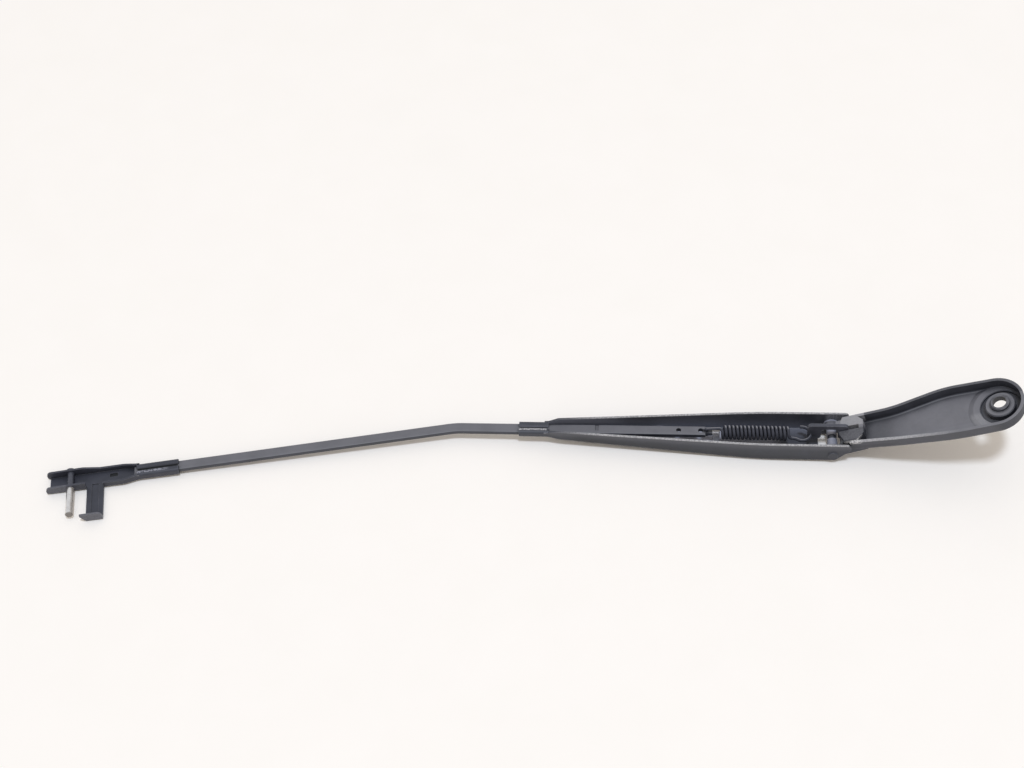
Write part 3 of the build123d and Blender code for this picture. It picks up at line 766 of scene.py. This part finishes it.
    def bend_eye(self, chain: bpy.types.Object) -> None:
        """Draw the round eye that passes through the hole in the link.

        Args:
            chain: Chain of edges of the coil.
        """
        length = self.end - self.start
        last = self.helix(self.lead_turn + self.turns, length)
        self.pick(chain, last)
        whole = self.turns + 2 * self.lead_turn
        shares = [step / self.lead_steps for step in range(1, self.lead_steps + 1)]
        lead = [
            self.helix(whole - self.lead_turn * (1 - s) ** 2, length + self.lead_length * s**2)
            for s in shares
        ]
        middle = Vector((self.eye_at - self.start - self.eye_radius, 0.0, 0.0))
        spoke = Vector((math.sin(self.eye_start), -math.cos(self.eye_start), 0.0)) * self.eye_radius
        self.draw_on(last, [*lead, middle + spoke])
        bpy.ops.mesh.spin(
            steps=self.eye_steps, angle=self.eye_start - self.eye_end, center=middle, axis=(0, 0, 1)
        )

    def build(self) -> bpy.types.Object:
        """Wind the spring, hook its ends and lay it between rod and link.

        Returns:
            The finished spring.
        """
        chain = self.wind()
        self.hook_rod_end(chain)
        self.bend_eye(chain)
        bpy.ops.object.mode_set(mode="OBJECT")
        bpy.ops.object.convert(target="CURVE")
        chain.data.bevel_depth = self.wire / 2
        chain.data.bevel_resolution = self.wire_resolution
        chain.data.use_fill_caps = True
        bpy.ops.object.convert(target="MESH")
        bpy.ops.object.shade_smooth_by_angle(angle=self.smooth_angle)
        anchor = self.layout.on_arm(self.anchor[0], 0.0, self.anchor[1])
        pin = self.layout.on_arm(self.pin[0], 0.0, self.pin[1])
        line = (pin - anchor).normalized()
        chain.location = anchor + line * (self.start - self.anchor[0])
        chain.rotation_euler = (0.0, -math.atan2(line.z, line.x), 0.0)
        bpy.ops.object.transform_apply(location=True, rotation=True, scale=True)
        chain.data.materials.append(self.finish.material())
        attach(chain, Body.LINK.value)
        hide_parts("tension_spring")
        LOG.info("%s is wound with %d faces", chain.name, len(chain.data.polygons))
        return chain


@dataclass
class MountingHead:
    """Cast head with its hinge bushes and the pin of the spring link.

    Attributes:
        layout: Datums of the arm.
        bush: Moulded acetal of the bushes.
        pin: Ground steel of the link pin.
    """

    layout: Layout
    # Moulded acetal: an even blue-grey with a soft shine
    bush: SatinPaint = SatinPaint(
        "moulded_bush", colour="#9194a2", thin_colour="#9b9eac", roughness=(0.45, 0.55), edge_wear=0.2
    )
    # Ground steel: grey and smooth, with a broad reflection
    pin: Steel = Steel("ground_pin", "#8a8a8c", "#55555a", (0.3, 0.45))

    def paint(self) -> SatinPaint:
        """Paint of the casting, rubbed and painted lit at the nose, with painted highlights on the near rim
        and the pad, and painted shade in places.
        """
        head = self.layout.head()
        # Baked paint on a casting: dark, with grey dust on the floor and painted shade in the corners
        return SatinPaint(
            "painted_casting", dust_and_highlight=0.9, hollow_shading=0.8,
            patches=(
                # Far half of the nose, rubbed and painted lighter where it faces the light, and its near
                # half painted with shade
                head.patch((4.0, 1.4, 1.0), (21.3, 10.0, 9.0), 0.8, 0.85, "#9a9ba1", 0.2),
                head.patch((4.0, -10.0, 1.0), (21.3, -1.4, 9.0), 0.8, 0.6, PAINTED_SHADE, 0.3),
                # Painted highlight along the near rim, near wall painted a little lighter, and chipped
                # front end of the rim
                head.patch((12.0, -17.0, 5.7), (40.0, -6.0, 6.5), (45.0, 0.5, 0.2), 0.8, "#b4b5b9", 0.5),
                head.patch((20.0, -22.0, -1.0), (95.0, -8.0, 6.0), (8.0, 0.5, 0.5), 0.12, broken=0.2),
                head.patch((11.0, -17.0, 4.6), (17.0, -6.0, 6.6), (3.0, 0.5, 0.3), 0.9, "#cfcfd1", 0.85),
                # Painted shade on the floor behind the nose, round the bore and on the far rim
                head.patch((20.0, -14.0, -1.0), (30.0, 14.0, 2.5), (18.0, 0.5, 0.5), 0.45, PAINTED_SHADE, 0.1),
                head.patch((97.7, -4.2, 1.0), (104.1, 2.2, 9.0), (2.2, 2.2, 0.5), 0.6, "#1f2025", 0.1),
                head.patch((22.0, 3.0, 5.7), (117.0, 22.0, 6.5), 0.2, 0.55, PAINTED_SHADE, 0.2),
                # Painted highlight on the pad beside the boss
                head.patch((78.0, -12.0, -0.3), (90.0, -5.0, 3.0), (7.0, 4.0, 0.5), 0.4, "#a0a1a6", 0.2),
            ),
        )

    def dress(self, frame: dict[str, Any]) -> None:
        """Finish the solids of the head."""
        dress(frame, Solid.MOUNTING_HEAD, self.paint().material())
        bush = self.bush.material()
        dress(frame, Solid.NEAR_BUSH, bush)
        dress(frame, Solid.FAR_BUSH, bush)
        dress(frame, Solid.LINK_PIN, self.pin.material())


@dataclass
class Arm:
    """Folded retainer with the rod crimped into it, and the hinge rivet.

    Attributes:
        layout: Datums of the arm.
        rivet: Paint of the rivet.
    """

    layout: Layout
    # Baked paint on a rivet: dark, rubbed bright along the edge of its head
    rivet: SatinPaint = SatinPaint("painted_rivet", edge_wear=0.9)

    def shell(self) -> SatinPaint:
        """Paint of the folded sheet, with painted highlights on the rims, painted light and shade in the
        channel, and rubbed on the far ear and the lips of the crimp.
        """
        arm, web = self.layout.arm(), self.layout.web()
        # Baked paint on folded sheet: dark outside, and painted lighter down in the channel as bounced
        # light
        return SatinPaint(
            "painted_sheet", hollow_shading_colour="#747784", hollow_shading=0.8, hollow_shading_mm=14.0,
            patches=(
                # Near wall, painted lighter towards the rim and painted with shade towards the back
                arm.patch((-175.0, -15.0, 8.5), (11.0, -5.0, 10.0), (5.0, 0.5, 5.0), 0.2, broken=0.2),
                web.patch((-105.0, -16.0, -3.0), (56.0, -3.5, 0.5), (15.0, 0.5, 9.0), 0.8, "#1d1e22", 0.2),
                # Web under the spring, painted lighter as bounced light
                web.patch((-55.0, -8.0, -0.5), (7.0, 8.0, 2.0), (10.0, 0.3, 0.3), 0.9, "#b4b7c6", 0.1),
                # Painted highlight on the rims, and the inside of the far ear
                arm.patch((-135.0, -15.0, 9.0), (11.0, 15.0, 10.0), (35.0, 0.5, 0.2), 0.85, "#bcbdc1", 0.5),
                arm.patch((-2.0, 9.0, 2.0), (11.0, 11.9, 9.0), (3.0, 0.4, 3.0), 0.8, broken=0.6),
                # Near lip and far edge of the crimp
                arm.patch((-190.5, -2.4, 6.6), (-173.0, -0.3, 8.2), 0.3, 0.9, "#b4b5ba", 0.75),
                arm.patch((-190.5, 3.9, 5.0), (-173.0, 5.2, 8.2), 0.3, 0.35, broken=0.5),
            ),
        )

    def bar(self) -> SatinPaint:
        """Paint of the rod, dusty on top, with painted shade under the lips of both crimps and beside its
        neighbours, and a bare foot painted extra light.
        """
        arm, tip = self.layout.arm(), self.layout.tip()
        # Baked paint on a rolled bar: a smooth dark side under a dusty grey top, with painted shade where
        # its neighbours close round it
        return SatinPaint(
            "painted_bar", roughness=(0.38, 0.5), edge_wear=0.35, dust_and_highlight=0.68,
            hollow_shading_colour="#17181b", hollow_shading=0.95, hollow_shading_mm=3.0, hollow_shading_alone=False,
            patches=(
                # Bare foot, painted extra light against the shade of the channel, and painted shade on the
                # bar under the lips of the two crimps
                arm.patch((-72.0, -2.0, -6.0), (-67.0, 2.0, 6.5), 0.3, 0.8, "#c8c8cc"),
                arm.patch((-189.5, -2.0, 5.0), (-172.5, 2.0, 7.0), 0.2, 1.0, SEAM_SHADE, 0.0),
                tip.patch((41.5, -2.0, 5.0), (66.0, 2.0, 7.0), 0.2, 1.0, SEAM_SHADE, 0.0),
            ),
        )

    def dress(self, frame: dict[str, Any]) -> None:
        """Finish the solids of the arm."""
        dress(frame, Solid.RETAINER, self.shell().material())
        dress(frame, Solid.ROD, self.bar().material())
        dress(frame, Solid.PIVOT_RIVET, self.rivet.material())


@dataclass
class Link:
    """C-shaped link over the hinge.

    Attributes:
        plate: Phosphated steel of the link.
    """

    # Phosphated plate: a dull dark grey with bright cut edges
    plate: SatinPaint = SatinPaint(
        "phosphated_plate", colour="#3d3f48", thin_colour="#4a4c56", worn_colour="#8c8d95", edge_wear=0.9
    )

    def dress(self, frame: dict[str, Any]) -> None:
        """Finish the solid of the link."""
        dress(frame, Solid.SPRING_LINK, self.plate.material())


@dataclass
class BladeEnd:
    """Folded bracket with its hook, and the pin that carries the blade.

    Attributes:
        layout: Datums of the arm.
    """

    layout: Layout

    def sheet(self) -> SatinPaint:
        """Paint of the bracket, lighter on the lip and the near lobe, scuffed beside the crimp, with
        painted shade in its seam, recess and corners.
        """
        tip = self.layout.tip()
        # Baked paint on folded sheet: blue-black and clean, with painted shade in the corners
        return SatinPaint(
            "painted_bracket", colour="#2d2f39", thin_colour="#353742", edge_wear=0.45,
            hollow_shading=0.8, hollow_shading_colour="#1b1c21", hollow_shading_mm=3.0,
            patches=(
                # Lip of the hook
                tip.patch((4.0, -32.0, 1.0), (22.0, -28.2, 9.0), 0.6, 0.4, broken=0.3),
                # Painted shade in the seam of the crimp, and scuffs beside it
                tip.patch((41.0, -0.75, 5.5), (66.5, 0.75, 8.2), 0.2, 0.85, SEAM_SHADE, 0.0),
                tip.patch((41.5, -2.8, 6.6), (56.0, -1.4, 8.2), (6.0, 0.3, 0.3), 0.7, "#9fa2b0", 0.9),
                # Near lobe, lighter, and painted shade in the recess in the web
                tip.patch((-15.0, -8.0, 1.0), (-3.0, -5.6, 9.0), 2.0, 0.25, broken=0.3),
                tip.patch((23.6, 0.3, 2.0), (28.4, 2.7, 3.2), 0.15, 1.0, SEAM_SHADE, 0.0),
            ),
        )

    def pin(self) -> Steel:
        """Steel of the blade pin, bare between the bracket and its end, with dark reflections painted on
        its end and one side.
        """
        tip = self.layout.tip()
        # Turned steel: bright, with fine rings across it and a warm film of oil
        return Steel(
            "turned_pin", "#e0dcd8", "#a89d94", (0.2, 0.34), stain=0.35,
            covers_and_dark_reflections=(
                # Paint between the flanges, and dark, brownish reflections painted on the end and on one
                # side
                tip.patch((-4.0, -6.2, 0.0), (4.0, 9.0, 9.0), 0.3, 1.0, "#43454f"),
                tip.patch((-4.0, -30.0, 0.0), (4.0, -25.7, 9.0), 0.2, 0.8, "#55504c"),
                tip.patch((1.3, -25.7, 0.0), (4.0, -6.2, 9.0), 0.5, 0.5, "#6b625a"),
            ),
        )

    def dress(self, frame: dict[str, Any]) -> None:
        """Finish the solids at the tip."""
        dress(frame, Solid.BLADE_BRACKET, self.sheet().material())
        dress(frame, Solid.BLADE_PIN, self.pin().material())


@dataclass(frozen=True)
class Lamp:
    """Soft rectangular studio lamp.

    Attributes:
        name: Name of the lamp.
        place: Middle of the lamp.
        aim: Point that it faces.
        size: Width and height.
        power: Power in watts.
        tint: Colour of the light.
    """

    name: str = "ceiling_lamp"
    place: Point = (0.26, -1.32, 6.03)
    aim: Point = (-0.28, 0.0, -0.03)
    size: Span = (0.85, 0.85)
    power: float = 172.0
    tint: str = "#eaf3ff"

    def build(self) -> bpy.types.Object:
        """Hang the lamp.

        Returns:
            The lamp.
        """
        deselect_all()
        bpy.ops.object.light_add(type="AREA", location=self.place)
        lamp = bpy.context.object
        lamp.name = self.name
        lamp.rotation_euler = (Vector(self.aim) - Vector(self.place)).to_track_quat("-Z", "Y").to_euler()
        lamp.data.shape = "RECTANGLE"
        lamp.data.size, lamp.data.size_y = self.size
        lamp.data.energy = self.power
        lamp.data.color = linear(self.tint)[:3]
        return lamp


@dataclass
class Studio:
    """Floor, light and camera.

    Attributes:
        floor_size: Side of the floor.
        floor_parts: Parts of the floor along each side.
        floor_gap: Air between the floor and the lowest point of the arm.
        card: Finish of the floor.
        lamp: Lamp over the arm.
        sky: Colour of the room's light.
        sky_strength: Strength of the room's light.
        wall: Colour of the pale walls that the camera and the gloss see.
        eye: Place of the camera.
        turn: Turn of the camera, in degrees.
        lens_mm: Focal length.
        sensor_mm: Width of the frame behind the lens.
        nearest: Distance from which the camera sees.
    """

    floor_size: float = 8.0
    floor_parts: int = 4
    floor_gap: float = 0.02 * MM
    card: Card = field(default_factory=Card)
    lamp: Lamp = field(default_factory=Lamp)
    sky: str = "#fff5ea"
    sky_strength: float = 0.66
    wall: str = "#e9edf3"
    eye: Point = (-0.20400, -0.63456, 0.78796)
    turn: Point = (39.25777, 2.70084, 4.00892)
    lens_mm: float = 59.766
    sensor_mm: float = 36.0
    nearest: float = 0.01

    def build(self, low: float) -> None:
        """Lay the floor, hang the lamp, light the room and set the camera.

        Args:
            low: Height of the lowest point of the arm.
        """
        deselect_all()
        bpy.ops.mesh.primitive_grid_add(
            x_subdivisions=self.floor_parts, y_subdivisions=self.floor_parts, size=self.floor_size
        )
        floor = bpy.context.object
        floor.name = "floor"
        floor.location = (0.0, 0.0, low - self.floor_gap)
        bpy.ops.object.transform_apply(location=True)
        floor.data.materials.append(self.card.material())
        floor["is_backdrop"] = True
        self.lamp.build()
        self.light_room()
        self.set_camera()

    def light_room(self) -> None:
        """Give the room its even light, and the pale walls that the camera and the gloss see."""
        world = bpy.data.worlds.new("studio")
        world.use_nodes = True
        tree = world.node_tree
        tree.nodes.clear()
        path = add_node(tree, "LightPath").outputs
        seen = add_node(tree, "Math", LARGER, [path["Is Camera Ray"], path["Is Glossy Ray"]])
        seen = add_node(tree, "Math", LARGER, [seen, path["Is Transmission Ray"]])
        sky = add_node(tree, "Background", inputs=[linear(self.sky), self.sky_strength])
        wall = add_node(tree, "Background", inputs=[linear(self.wall), 1.0])
        room = add_node(tree, "MixShader", inputs=[seen, sky, wall])
        add_node(tree, "OutputWorld", inputs={"Surface": room})
        bpy.context.scene.world = world

    def set_camera(self) -> None:
        """Look at the arm from the front and above."""
        deselect_all()
        turn = [math.radians(angle) for angle in self.turn]
        bpy.ops.object.camera_add(location=self.eye, rotation=turn)
        camera = bpy.context.object
        camera.data.sensor_fit = "HORIZONTAL"
        camera.data.sensor_width = self.sensor_mm
        camera.data.lens = self.lens_mm
        camera.data.clip_start = self.nearest
        camera.data.dof.use_dof = False
        bpy.context.scene.camera = camera


def main() -> None:
    """Build and dress the wiper arm and its studio."""
    logging.basicConfig(level=logging.INFO, format="%(name)s: %(message)s")
    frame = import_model()
    cad_box = [list(corner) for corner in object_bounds()]
    layout = Layout()
    Arm(layout).dress(frame)
    MountingHead(layout).dress(frame)
    Link().dress(frame)
    BladeEnd(layout).dress(frame)
    TensionSpring(layout).build()
    Studio().build(cad_box[0][2])
    bpy.context.scene.view_settings.view_transform = "Standard"


if __name__ == "__main__":
    main()
